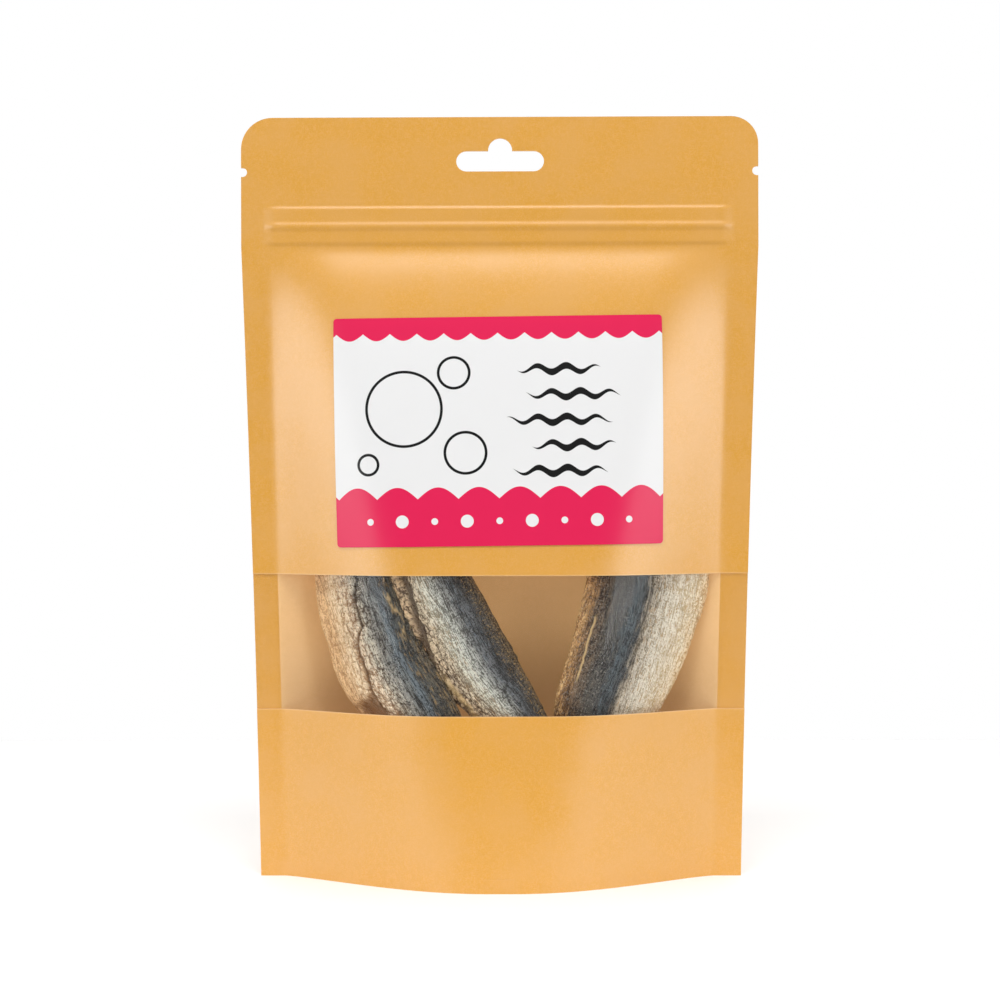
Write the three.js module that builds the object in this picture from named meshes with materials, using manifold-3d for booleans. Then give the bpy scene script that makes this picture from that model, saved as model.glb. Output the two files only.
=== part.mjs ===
// A stand-up pouch of kraft paper with a clear window, shut and standing on its bottom gusset, and the
// three dried herring in it. Millimetres, +Z up. The front, with window and label, faces -Y. The origin
// is on the floor, under the middle of the pouch.

import * as THREE from "three";
import { mergeVertices } from "three/addons/utils/BufferGeometryUtils.js";
import Module from "manifold-3d";

const wasm = await Module();
wasm.setup();

// Pouch
const HEIGHT = 278;
const TOP_WIDTH = 189.6;
const FOOT_WIDTH = 175.8; // the bulge below draws the sides in
const FOOT_DEPTH = 60.4;
const WALL = 0.5;
const SIDE_SEAL = { left: 9, right: 10 };
const CORNER_RADIUS = { left: 11.5, right: 10 };

// Zip: the bag is flat from its lower edge up
const ZIP_FOOT = 230.5;
const ZIP_RIB = { z: 238.6, halfHeight: 1.7, proud: 0.8 };
const ZIP_FLANGE_TOP = 245.6;
const ZIP_FLANGE_PROUD = 0.25;

// Holes and nicks in the header
const SLOT = { x: 0.3, z: 261.8, width: 32.2, height: 7.5, bumpRadius: 4.4, top: 270.2 };
const NOTCH = { z: 258, height: 3.3, depth: 2.2 };

// Bottom gusset: a sheet folded upwards between the panels, flattest in the middle
const GUSSET_SKIRT = 5;
const GUSSET_HALF_SHEET = 32;
const GUSSET_ROUNDNESS = 1.6;
const GUSSET_STEEPEST = 12; // most upright thickness, where the sheet stands nearly on edge

// Window
const WINDOW = { bottom: 61.2, top: 110.6 };
const FILM = 0.15;
const GAP = 0.3; // between pieces that touch
const SEAL_FACE = -0.05; // where the back paper starts behind the film, in the side seals

// Label: x and the width are lengths along the curved panel
const LABEL = { x: -0.3, z: 162.7, width: 119.3, height: 82.9, radius: 1.3, turn: 0.62 };
const STICKER = 0.2;
const LABEL_STEP = 12; // between points of its outline

// How the panels stand out: smooth from the side seals, fullest at the foot. Near the zip a panel is flat
// in the middle and rises in narrow flanks
const NARROWING_EARLY = 1.28;
const FLANK_SHARE = { zip: 0.33, foot: 0.95 }; // of the half width, where the panel rises
const CROWN_POWER = 1.2;
const DEPTH_POWER = 0.72;

// Grid lines. Columns run from 0, the middle, to 1, the inner edge of the side seal, and 2, the outer edge
const HALF_COLUMNS = [0, 0.16, 0.31, 0.44, 0.56, 0.67, 0.77, 0.86, 0.93, 1, 2];
const LOW_ROWS = [0, 8, 20, 34, 48];
const WINDOW_ROWS = 5;
const HIGH_ROWS = [124, 139, 154, 169, 184, 198, 209, 217, 223, 227.5];

const COLUMNS = [...HALF_COLUMNS.slice(1).map((c) => -c).reverse(), ...HALF_COLUMNS];
const BODY_COLUMNS = COLUMNS.filter((c) => Math.abs(c) <= 1);

// Rows from low to high, in equal steps.
function steps(low, high, count) {
  return Array.from({ length: count + 1 }, (_, i) => low + ((high - low) * i) / count);
}

const BODY_ROWS = [...LOW_ROWS, ...steps(WINDOW.bottom, WINDOW.top, WINDOW_ROWS), ...HIGH_ROWS, ZIP_FOOT];
const ZIP_ROWS = [
  ZIP_RIB.z - ZIP_RIB.halfHeight,
  ZIP_RIB.z - ZIP_RIB.halfHeight / 2,
  ZIP_RIB.z + ZIP_RIB.halfHeight / 2,
  ZIP_RIB.z + ZIP_RIB.halfHeight,
  ZIP_FLANGE_TOP - ZIP_FLANGE_PROUD,
  ZIP_FLANGE_TOP,
];

// 0 at the zip and above it, 1 at the floor.
function drop(z) {
  return Math.min(1, Math.max(0, (ZIP_FOOT - z) / ZIP_FOOT));
}

function halfWidth(z) {
  const early = NARROWING_EARLY - (NARROWING_EARLY - 1) * drop(z);
  return (TOP_WIDTH - (TOP_WIDTH - FOOT_WIDTH) * drop(z) * early) / 2;
}

function sealWidth(x) {
  return x < 0 ? SIDE_SEAL.left : SIDE_SEAL.right;
}

// How far the inside of a panel stands from the middle plane, at the middle of the pouch.
function halfDepth(z) {
  return (FOOT_DEPTH / 2 - WALL) * drop(z) ** DEPTH_POWER;
}

// The same at any x.
function bulge(x, z) {
  const inner = halfWidth(z) - sealWidth(x);
  const inward = Math.max(0, 1 - Math.abs(x) / inner);
  const flank = FLANK_SHARE.zip + (FLANK_SHARE.foot - FLANK_SHARE.zip) * drop(z);
  return halfDepth(z) * Math.sin((Math.PI / 2) * Math.min(1, inward / flank)) ** CROWN_POWER;
}

function xOfColumn(column, z) {
  const inner = halfWidth(z) - sealWidth(column);
  const size = Math.abs(column);
  return Math.sign(column) * (size <= 1 ? inner * size : inner + sealWidth(column) * (size - 1));
}

// The press-shut rib and the flange above it, as relief on both faces of the header.
function zipRelief(x, z) {
  if (Math.abs(x) >= halfWidth(z) - sealWidth(x) / 2 || z <= ZIP_FOOT || z >= ZIP_FLANGE_TOP) {
    return 0;
  }
  const offRib = Math.abs(z - ZIP_RIB.z) / ZIP_RIB.halfHeight;
  return offRib < 1 ? ZIP_RIB.proud : ZIP_FLANGE_PROUD;
}

function outside(x, z) {
  return WALL + bulge(x, z) + zipRelief(x, z);
}

// The x on a panel's face that lies a length along the panel from its middle.
function xAlong(length, z) {
  const count = 40;
  let x = 0;
  for (let i = 0; i < count; i++) {
    const slope = (outside(x + 0.1, z) - outside(x - 0.1, z)) / 0.2;
    x += length / count / Math.hypot(1, slope);
  }
  return x;
}

// A closed geometry between two sheets over one grid: point(side, i, j) is the grid's point on the
// front sheet (side -1) or the back sheet (side 1). Points that coincide become one.
function between(columns, rows, point) {
  const places = [];
  const indices = [];
  const across = columns + 1;
  const perSheet = across * (rows + 1);
  for (const side of [-1, 1]) {
    for (let j = 0; j <= rows; j++) {
      for (let i = 0; i <= columns; i++) {
        places.push(...point(side, i, j));
      }
    }
  }
  const at = (side, i, j) => (side < 0 ? 0 : perSheet) + j * across + i;
  const quad = (a, b, c, d) => indices.push(a, b, c, a, c, d);
  for (let j = 0; j < rows; j++) {
    for (let i = 0; i < columns; i++) {
      quad(at(-1, i, j), at(-1, i + 1, j), at(-1, i + 1, j + 1), at(-1, i, j + 1));
      quad(at(1, i + 1, j), at(1, i, j), at(1, i, j + 1), at(1, i + 1, j + 1));
    }
    quad(at(1, 0, j), at(-1, 0, j), at(-1, 0, j + 1), at(1, 0, j + 1));
    quad(at(-1, columns, j), at(1, columns, j), at(1, columns, j + 1), at(-1, columns, j + 1));
  }
  for (let i = 0; i < columns; i++) {
    quad(at(-1, i + 1, 0), at(-1, i, 0), at(1, i, 0), at(1, i + 1, 0));
    quad(at(-1, i, rows), at(-1, i + 1, rows), at(1, i + 1, rows), at(1, i, rows));
  }
  const geometry = new THREE.BufferGeometry();
  geometry.setAttribute("position", new THREE.Float32BufferAttribute(places, 3));
  geometry.setIndex(indices);
  return geometry;
}

// A closed geometry as a solid that can be joined and cut. Triangles with two equal corners are dropped.
function solid(geometry) {
  const bare = geometry.clone();
  bare.deleteAttribute("normal");
  bare.deleteAttribute("uv");
  const merged = mergeVertices(bare, 1e-4);
  const index = merged.index.array;
  const kept = [];
  for (let i = 0; i < index.length; i += 3) {
    const [a, b, c] = index.slice(i, i + 3);
    if (a !== b && b !== c && c !== a) {
      kept.push(a, b, c);
    }
  }
  return new wasm.Manifold(
    new wasm.Mesh({
      numProp: 3,
      vertProperties: merged.attributes.position.array,
      triVerts: new Uint32Array(kept),
    }),
  );
}

function named(name, body, color, roughness) {
  const { vertProperties, triVerts } = body.getMesh();
  const geometry = new THREE.BufferGeometry();
  geometry.setAttribute("position", new THREE.BufferAttribute(vertProperties, 3));
  geometry.setIndex(new THREE.BufferAttribute(triVerts, 1));
  geometry.computeVertexNormals();
  const material = new THREE.MeshStandardMaterial({ color, roughness, metalness: 0 });
  const mesh = new THREE.Mesh(geometry, material);
  mesh.name = name;
  return mesh;
}

// A shape drawn in x and z, as a cutter that runs right through from front to back.
function through(shape, curveSegments = 8) {
  const depth = 2 * FOOT_DEPTH;
  const geometry = new THREE.ExtrudeGeometry(shape, { depth, bevelEnabled: false, curveSegments });
  geometry.rotateX(Math.PI / 2);
  geometry.translate(0, depth / 2, 0);
  return solid(geometry);
}

function outerForm() {
  const rows = [...BODY_ROWS, ...ZIP_ROWS, HEIGHT];
  return solid(
    between(COLUMNS.length - 1, rows.length - 1, (side, i, j) => {
      const x = xOfColumn(COLUMNS[i], rows[j]);
      return [x, side * outside(x, rows[j]), rows[j]];
    }),
  );
}

// The room between the panels, from below the floor up to the zip.
function innerForm() {
  const rows = [-1, ...BODY_ROWS];
  return solid(
    between(BODY_COLUMNS.length - 1, rows.length - 1, (side, i, j) => {
      const x = xOfColumn(BODY_COLUMNS[i], rows[j]);
      return [x, side * bulge(x, rows[j]), rows[j]];
    }),
  );
}

// All that is below the gusset's underside, or with its thickness below its upper side.
function belowGusset(withThickness) {
  const columns = BODY_COLUMNS.map((c) => c * 1.02);
  const lines = [-1.3, -1, -0.75, -0.5, -0.25, 0, 0.25, 0.5, 0.75, 1, 1.3];
  const roof = (x, line) => {
    const reach = Math.max(bulge(x, 0), 0.2);
    const rise = Math.sqrt(Math.max(GUSSET_HALF_SHEET ** 2 - reach ** 2, 0));
    const off = Math.min(1, Math.abs(line));
    const slope = (GUSSET_ROUNDNESS * rise * off ** (GUSSET_ROUNDNESS - 1)) / reach;
    const upright = Math.min(GUSSET_STEEPEST, WALL * Math.hypot(1, slope));
    return GUSSET_SKIRT + rise * (1 - off ** GUSSET_ROUNDNESS) + (withThickness ? upright : 0);
  };
  return solid(
    between(columns.length - 1, lines.length - 1, (side, i, j) => {
      const x = xOfColumn(columns[i], 0);
      const y = -lines[j] * Math.max(bulge(x, 0), 0.2);
      return [x, y, side < 0 ? -2 : roof(x, lines[j])];
    }),
  );
}

// What rounds off one top corner; hand is -1 on the left and 1 on the right.
function cornerCutter(hand, radius) {
  const x = TOP_WIDTH / 2 - radius;
  const z = HEIGHT - radius;
  const shape = new THREE.Shape();
  shape.moveTo(hand * x, HEIGHT + 2);
  shape.lineTo(hand * x, HEIGHT);
  const [from, to] = hand > 0 ? [Math.PI / 2, 0] : [Math.PI / 2, Math.PI];
  shape.absarc(hand * x, z, radius, from, to, hand > 0);
  shape.lineTo(hand * (x + radius + 2), z);
  shape.lineTo(hand * (x + radius + 2), HEIGHT + 2);
  return through(shape);
}

// The hang hole: a long slot with a round bump up in its middle.
function slotCutter() {
  const end = SLOT.height / 2;
  const reach = SLOT.width / 2 - end;
  const slot = new THREE.Shape();
  slot.absarc(SLOT.x + reach, SLOT.z, end, -Math.PI / 2, Math.PI / 2, false);
  slot.absarc(SLOT.x - reach, SLOT.z, end, Math.PI / 2, (3 * Math.PI) / 2, false);
  const bump = new THREE.Shape();
  bump.absarc(SLOT.x, SLOT.top - SLOT.bumpRadius, SLOT.bumpRadius, 0, 2 * Math.PI, false);
  return through(slot).add(through(bump, 16));
}

function notchCutter(hand) {
  const end = NOTCH.height / 2;
  const edge = TOP_WIDTH / 2;
  const x = hand * (edge - NOTCH.depth + end);
  const [from, to] = hand > 0 ? [Math.PI / 2, (3 * Math.PI) / 2] : [-Math.PI / 2, Math.PI / 2];
  const shape = new THREE.Shape();
  shape.moveTo(hand * (edge + 2), NOTCH.z - hand * -end);
  shape.absarc(x, NOTCH.z, end, from, to, false);
  shape.lineTo(hand * (edge + 2), NOTCH.z + hand * -end);
  return through(shape);
}

function windowCutter() {
  const depth = FOOT_DEPTH;
  const height = WINDOW.top - WINDOW.bottom;
  const box = new THREE.BoxGeometry(TOP_WIDTH + 10, depth, height);
  box.translate(0, SEAL_FACE - depth / 2, WINDOW.bottom + height / 2);
  return solid(box);
}

function pouch() {
  const room = innerForm();
  const inside = room.subtract(belowGusset(true));
  const recess = room.intersect(belowGusset(false));
  const paper = outerForm()
    .subtract(inside)
    .subtract(recess)
    .subtract(windowCutter())
    .subtract(cornerCutter(-1, CORNER_RADIUS.left))
    .subtract(cornerCutter(1, CORNER_RADIUS.right))
    .subtract(slotCutter())
    .subtract(notchCutter(-1))
    .subtract(notchCutter(1));
  return named("pouch", paper, 0xe5a956, 0.75);
}

// The clear strip runs the full width. In the side seals it lies on the back panel's paper.
function windowFilm() {
  const rows = steps(WINDOW.bottom + GAP, WINDOW.top - GAP, WINDOW_ROWS);
  const film = between(COLUMNS.length - 1, rows.length - 1, (side, i, j) => {
    const x = xOfColumn(COLUMNS[i], rows[j]);
    return [x, -outside(x, rows[j]) + (side > 0 ? FILM : 0), rows[j]];
  });
  return named("window_film", solid(film), 0xe9e4da, 0.12);
}

function roundedRectangle(width, height, radius) {
  const x = width / 2 - radius;
  const y = height / 2 - radius;
  const shape = new THREE.Shape();
  shape.absarc(x, y, radius, 0, Math.PI / 2, false);
  shape.absarc(-x, y, radius, Math.PI / 2, Math.PI, false);
  shape.absarc(-x, -y, radius, Math.PI, (3 * Math.PI) / 2, false);
  shape.absarc(x, -y, radius, (3 * Math.PI) / 2, 2 * Math.PI, false);
  shape.closePath();
  return shape;
}

// The label's outline as seen from the front: laid along the curved panel, and very slightly askew.
function labelOutline() {
  const turn = THREE.MathUtils.degToRad(LABEL.turn);
  const centre = new THREE.Vector2();
  const corners = roundedRectangle(LABEL.width, LABEL.height, LABEL.radius).getPoints(3);
  const points = corners.flatMap((corner, i) => {
    const next = corners[(i + 1) % corners.length];
    const count = Math.max(1, Math.round(corner.distanceTo(next) / LABEL_STEP));
    return steps(0, 1, count).slice(0, -1).map((t) => corner.clone().lerp(next, t));
  });
  return new THREE.Shape(
    points.map((point) => {
      const { x: along, y: up } = point.rotateAround(centre, turn);
      const z = LABEL.z + up;
      return new THREE.Vector2(xAlong(LABEL.x + along, z), z);
    }),
  );
}

// A sticker that follows the front panel.
function label() {
  const margin = 2;
  const columns = 20;
  const rows = 10;
  const sheet = between(columns, rows, (side, i, j) => {
    const x = LABEL.x + (LABEL.width / 2 + margin) * ((2 * i) / columns - 1);
    const z = LABEL.z + (LABEL.height / 2 + margin) * ((2 * j) / rows - 1);
    return [x, -outside(x, z) - GAP - (side < 0 ? STICKER : 0), z];
  });
  return named("label", solid(sheet).intersect(through(labelOutline())), 0xf0f0f0, 0.35);
}

// Herring, from the lower end to the upper: the spine's x and z, how far the fish's front side stays
// behind the front panel, and the width and thickness there. Turn swings the left edge forwards, in degrees
const HERRINGS = {
  herring_left: {
    // head down
    spine: [
      [-11, 19, 4, 6, 5],
      [-14.5, 29, 3, 20, 9],
      [-22.5, 45, 2.5, 27, 12],
      [-32.2, 62, 2, 30, 12.5],
      [-41.9, 77, 1.8, 33, 12.5],
      [-47.8, 93, 1.8, 31, 12],
      [-52.9, 110, 1.8, 28, 11],
      [-56, 135, 1.8, 22, 9],
      [-54, 158, 1.6, 14, 6.5],
      [-51, 176, 1.5, 8, 4.5],
      [-49, 190, 1.5, 17, 2],
    ],
    turn: -14,
  },
  herring_middle: {
    // tail down
    spine: [
      [26, 18, 3.5, 13, 2],
      [22, 33, 2.5, 7.5, 4.5],
      [14.5, 49, 2, 12.5, 8],
      [5.5, 62, 1.5, 18.5, 10.5],
      [-6.5, 77, 1.5, 25, 11.5],
      [-15.5, 93, 1.5, 26, 12],
      [-24.2, 110, 1.5, 24.5, 12],
      [-30, 135, 1.5, 25, 11.5],
      [-29, 158, 1.5, 21, 10],
      [-25, 178, 1.5, 12, 7],
      [-23, 188, 1.5, 4, 3],
    ],
    turn: -4,
  },
  herring_right: {
    // head down
    spine: [
      [29, 34, 12, 6, 5],
      [31, 40, 10, 19, 9],
      [34, 50, 7, 30, 12],
      [37.4, 62, 3.2, 36, 12.5],
      [43.3, 77, 2.8, 39.3, 12],
      [48.8, 93, 2.8, 41.5, 11],
      [53.2, 110, 2.9, 43.6, 9],
      [53.6, 128, 2.7, 39.5, 8.4],
      [53, 150, 1.6, 30, 8.5],
      [49, 168, 1.6, 15, 6],
      [46, 182, 1.6, 9, 4],
      [43, 196, 1.6, 20, 2],
    ],
    turn: 14,
  },
};
const STATIONS_PER_POINT = 2;
const FISH_SIDES = 14;

function herring(name, { spine, turn }, color) {
  const curve = new THREE.CatmullRomCurve3(
    spine.map(([x, z, behind, , thickness]) => {
      return new THREE.Vector3(x, behind + thickness / 2 - bulge(x, z), z);
    }),
  );
  const size = new THREE.CatmullRomCurve3(
    spine.map(([, , , width, thickness]) => new THREE.Vector3(width / 2, thickness / 2, 0)),
  );
  const stations = STATIONS_PER_POINT * (spine.length - 1);
  const sections = steps(0, 1, stations).map((t) => {
    const centre = curve.getPoint(t);
    const upwards = curve.getTangent(t);
    const sideways = new THREE.Vector3(0, -1, 0).cross(upwards).normalize();
    sideways.applyAxisAngle(upwards, THREE.MathUtils.degToRad(turn));
    const forwards = upwards.clone().cross(sideways);
    const { x: halfWide, y: halfThick } = size.getPoint(t);
    return { centre, wide: sideways.multiplyScalar(halfWide), thick: forwards.multiplyScalar(halfThick) };
  });
  const half = FISH_SIDES / 2;
  const body = between(half, stations, (side, i, j) => {
    const angle = (side * Math.PI * (half - i)) / half;
    const { centre, wide, thick } = sections[j];
    return centre
      .clone()
      .addScaledVector(wide, Math.cos(angle))
      .addScaledVector(thick, Math.sin(angle))
      .toArray();
  });
  return named(name, solid(body), color, 0.6);
}

const HERRING_COLORS = { herring_left: 0xb8935c, herring_middle: 0xb09878, herring_right: 0x9a9080 };

const pack = new THREE.Group();
pack.add(pouch());
pack.add(windowFilm());
pack.add(label());
for (const [name, shape] of Object.entries(HERRINGS)) {
  pack.add(herring(name, shape, HERRING_COLORS[name]));
}

export default pack;
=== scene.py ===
"""A kraft paper stand-up pouch with three dried herring behind its clear window, for Blender 4.5.

Metres. The front faces -Y, and the pouch stands on z = 0. The panels and the fish have the shapes of the
part's source, worked out here on finer grids. What is added is low: a softer start of the bulge under the
zip, faint waves in the paper, and the wrinkles of the skin.
"""

import math

import bpy
import numpy as np
from mathutils import Matrix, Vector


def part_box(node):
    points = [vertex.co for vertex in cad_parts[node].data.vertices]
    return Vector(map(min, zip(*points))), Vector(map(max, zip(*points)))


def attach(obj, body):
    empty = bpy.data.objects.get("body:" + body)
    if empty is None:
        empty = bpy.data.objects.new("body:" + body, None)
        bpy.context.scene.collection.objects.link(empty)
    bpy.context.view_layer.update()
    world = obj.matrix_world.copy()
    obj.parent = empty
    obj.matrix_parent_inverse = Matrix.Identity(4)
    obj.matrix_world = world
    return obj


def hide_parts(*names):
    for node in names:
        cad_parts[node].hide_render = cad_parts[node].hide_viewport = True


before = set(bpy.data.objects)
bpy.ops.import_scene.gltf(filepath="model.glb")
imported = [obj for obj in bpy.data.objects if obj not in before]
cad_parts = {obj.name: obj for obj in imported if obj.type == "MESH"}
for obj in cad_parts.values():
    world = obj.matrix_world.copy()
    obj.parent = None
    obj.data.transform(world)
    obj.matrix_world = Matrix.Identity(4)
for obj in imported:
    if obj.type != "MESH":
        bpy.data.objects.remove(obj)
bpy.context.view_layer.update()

MM = 0.001

# Camera, by the photograph: level with the middle of the pouch and a little to its right
CAMERA_HEIGHT = 137.6 * MM
CAMERA_DISTANCE = 620 * MM
CAMERA_ORBIT = math.radians(0.5)
CAMERA_ROLL = math.radians(0.12)
SENSOR = 36.0
LENS = 60.85

# Pouch, with its driving sizes read from the frame
POUCH_LOW, POUCH_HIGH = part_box("pouch")
TOP_WIDTH = POUCH_HIGH.x - POUCH_LOW.x
HEIGHT = POUCH_HIGH.z
FOOT_DEPTH = POUCH_HIGH.y - POUCH_LOW.y
FOOT_WIDTH = 175.8 * MM
WALL = 0.5 * MM
SHEET = WALL - 0.01 * MM  # a panel's thickness here, so that no two panels share a face in the seals
SEAL_LEFT = 9 * MM
SEAL_RIGHT = 10 * MM
CORNER_RADII = {-1: 11.5 * MM, 1: 10 * MM}  # left and right
WINDOW_LOW = 61.2 * MM
WINDOW_HIGH = 110.6 * MM
FILM_DEPTHS = 0.12 * MM, 0.2 * MM  # of its two faces, in the wall

# Zip: a rib on a flange, both pressed through the paper. The panels part below ZIP_FOOT
ZIP_FOOT = 230.5 * MM
ZIP_RIB = 238 * MM
ZIP_RIB_HALF = 2.2 * MM
ZIP_RIB_PROUD = 0.42 * MM
ZIP_FLANGE_TOP = 245.9 * MM
ZIP_FLANGE_ROUND = 1.8 * MM
ZIP_FLANGE_RISE = 2 * MM
ZIP_FLANGE_PROUD = 0.4 * MM
ZIP_END = 1.2 * MM  # the relief fades out over this, beside the seals

# How the panels stand out and how the side seals draw in
NARROWING_EARLY = 1.28
FLANK_AT_ZIP = 0.33  # share of the half width in which a panel rises
FLANK_AT_FOOT = 0.95
CROWN_POWER = 1.2
DEPTH_POWER = 0.72
ZIP_RELEASE = 5 * MM
WAVE_HEIGHT = 0.25 * MM
WAVE_ACROSS = 34 * MM
WAVE_UP = 27 * MM

# Bottom gusset: a sheet folded upwards between the panels
GUSSET_SKIRT = 5 * MM
GUSSET_HALF_SHEET = 32 * MM
GUSSET_ROUNDNESS = 1.6
GUSSET_LIFTS = 0.35 * MM, 0.05 * MM  # of its two faces, off the panels

# Hang hole and tear notches
SLOT_X = 0.3 * MM
SLOT_HEIGHT = 261.8 * MM
SLOT_WIDTH = 32.2 * MM
SLOT_THICKNESS = 7.5 * MM
SLOT_BUMP = 4.4 * MM
SLOT_TOP = 270.2 * MM
NOTCH_HEIGHT = 258 * MM
NOTCH_THICKNESS = 3.3 * MM
NOTCH_DEPTH = 2.2 * MM

# Label, turned very slightly. Its x and width are lengths along the curved panel
LABEL_X = -0.3 * MM
LABEL_Z = 162.7 * MM
LABEL_WIDTH = 119.3 * MM
LABEL_HEIGHT = 82.9 * MM
LABEL_RADIUS = 1.3 * MM
LABEL_TURN = math.radians(0.62)
LABEL_GAP = 0.25 * MM
LABEL_THICKNESS = 0.15 * MM
LABEL_STEP = 0.9 * MM


# Shapes of the panels ---------------------------------------------------------

def drop(z):
    """0 at the zip and above it, 1 at the floor."""
    return np.clip((ZIP_FOOT - z) / ZIP_FOOT, 0, 1)


def half_width(z):
    """Half of the pouch's width. It draws in fastest just under the zip."""
    early = NARROWING_EARLY - (NARROWING_EARLY - 1) * drop(z)
    return (TOP_WIDTH - (TOP_WIDTH - FOOT_WIDTH) * drop(z) * early) / 2


def seal_width(x):
    return np.where(x < 0, SEAL_LEFT, SEAL_RIGHT)


def inner_edge(x, z):
    """How far from the middle the side seal starts, on the side where x is."""
    return half_width(z) - seal_width(x)


def bulge(x, z):
    """How far the inside of a panel stands from the middle plane. It rises in a flank beside each seal and
    is fullest at the foot. Just below the zip, which holds the panels together, it starts gently."""
    inward = np.maximum(0, 1 - np.abs(x) / inner_edge(x, z))
    flank = FLANK_AT_ZIP + (FLANK_AT_FOOT - FLANK_AT_ZIP) * drop(z)
    crown = np.sin(math.pi / 2 * np.minimum(1, inward / flank)) ** CROWN_POWER
    release = 1 - np.exp(-np.maximum(0, ZIP_FOOT - z) / ZIP_RELEASE)
    return (FOOT_DEPTH / 2 - WALL) * drop(z) ** DEPTH_POWER * release * crown


def x_along(length, z):
    """The x on a panel's face that lies a length along the panel from its middle."""
    count = 40
    probe = 0.1 * MM
    x = np.zeros(np.broadcast(length, z).shape)
    for _ in range(count):
        slope = (bulge(x + probe, z) - bulge(x - probe, z)) / (2 * probe)
        x = x + length / count / np.hypot(1, slope)
    return x


def smooth(low, high, value):
    """0 up to low and 1 from high on, with a soft turn at both ends."""
    t = np.clip((value - low) / (high - low), 0, 1)
    return t * t * (3 - 2 * t)


def zip_relief(x, z):
    """The zip's rib and the flange round it, pressed through the paper."""
    edge = inner_edge(x, z) - ZIP_END
    along = 1 - smooth(edge, edge + ZIP_END, np.abs(x))
    off = np.abs(z - ZIP_RIB) / ZIP_RIB_HALF
    rib = ZIP_RIB_PROUD * np.cos(math.pi / 2 * np.minimum(1, off)) ** 2
    flange_top = smooth(0, ZIP_FLANGE_ROUND, ZIP_FLANGE_TOP - z)
    flange_low = smooth(ZIP_FOOT, ZIP_FOOT + ZIP_FLANGE_RISE, z)
    return along * (rib + ZIP_FLANGE_PROUD * flange_top * flange_low)


def lattice_noise(u, v, seed):
    """Smooth noise from -1 to 1 with cells of size 1."""
    table = np.random.default_rng(seed).uniform(-1, 1, (256, 256))
    low_u, low_v = np.floor(u).astype(int), np.floor(v).astype(int)
    tu, tv = u - low_u, v - low_v
    tu, tv = tu * tu * (3 - 2 * tu), tv * tv * (3 - 2 * tv)

    def corner(du, dv):
        return table[(low_u + du) % 256, (low_v + dv) % 256]

    near = corner(0, 0) * (1 - tu) + corner(1, 0) * tu
    far = corner(0, 1) * (1 - tu) + corner(1, 1) * tu
    return near * (1 - tv) + far * tv


def cell_noise(u, v, seed):
    """Distances from each point to the nearest and second nearest of scattered seeds, cells of size 1."""
    jitter = np.random.default_rng(seed).uniform(0, 1, (256, 256, 2))
    low_u, low_v = np.floor(u).astype(int), np.floor(v).astype(int)
    nearest = np.full(u.shape, 9.0)
    second = np.full(u.shape, 9.0)
    for du in (-1, 0, 1):
        for dv in (-1, 0, 1):
            spot = jitter[(low_u + du) % 256, (low_v + dv) % 256]
            off_u = low_u + du + spot[..., 0] - u
            off_v = low_v + dv + spot[..., 1] - v
            distance = np.hypot(off_u, off_v)
            second = np.minimum(second, np.maximum(nearest, distance))
            nearest = np.minimum(nearest, distance)
    return nearest, second


# Meshes -----------------------------------------------------------------------

SHARP_ANGLE = math.radians(35)


def piece(name, vertices, faces, materials, replaced, sharp_edges=True):
    """A shown piece that stands for the CAD node named."""
    mesh = bpy.data.meshes.new(name)
    mesh.from_pydata(vertices.tolist(), [], faces)
    mesh.validate()
    mesh.polygons.foreach_set("use_smooth", np.ones(len(mesh.polygons), bool))
    if sharp_edges:
        mesh.set_sharp_from_angle(angle=SHARP_ANGLE)
    for material in materials:
        mesh.materials.append(material)
    thing = bpy.data.objects.new(name, mesh)
    bpy.context.scene.collection.objects.link(thing)
    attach(thing, "root")
    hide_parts(replaced)
    return thing


def slab(outer, inner):
    """Vertices and faces of a closed sheet between two grids of points, rows by columns by 3. Seen from
    the outer side, columns run to the right and rows run up."""
    rows, columns = outer.shape[:2]
    count = rows * columns
    vertices = np.concatenate([outer.reshape(-1, 3), inner.reshape(-1, 3)])
    index = np.arange(count).reshape(rows, columns)
    corners = [index[:-1, :-1], index[:-1, 1:], index[1:, 1:], index[1:, :-1]]
    front = np.stack(corners, -1).reshape(-1, 4)
    back = front[:, ::-1] + count
    rim = np.concatenate([index[0, :-1], index[:-1, -1], index[-1, :0:-1], index[:0:-1, 0]])
    onward = np.roll(rim, -1)
    side = np.stack([onward, rim, rim + count, onward + count], -1)
    return vertices, np.concatenate([front, back, side]).tolist()


def tube(rings, ends):
    """Vertices and faces of a closed tube through rings of points, with one more point at each end."""
    rows, columns = rings.shape[:2]
    count = rows * columns
    index = np.arange(count).reshape(rows, columns)
    after = np.roll(index, -1, axis=1)
    body = np.stack([index[:-1], after[:-1], after[1:], index[1:]], -1).reshape(-1, 4)
    first = np.stack([after[0], index[0], np.full(columns, count)], -1)
    last = np.stack([index[-1], after[-1], np.full(columns, count + 1)], -1)
    vertices = np.concatenate([rings.reshape(-1, 3), ends])
    return vertices, body.tolist() + first.tolist() + last.tolist()


def set_floats(thing, name, values):
    attribute = thing.data.attributes.new(name, "FLOAT", "POINT")
    attribute.data.foreach_set("value", np.asarray(values, np.float32).ravel())


def set_vectors(thing, name, values):
    attribute = thing.data.attributes.new(name, "FLOAT_VECTOR", "POINT")
    attribute.data.foreach_set("vector", np.asarray(values, np.float32).ravel())


# Node materials ---------------------------------------------------------------

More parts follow.
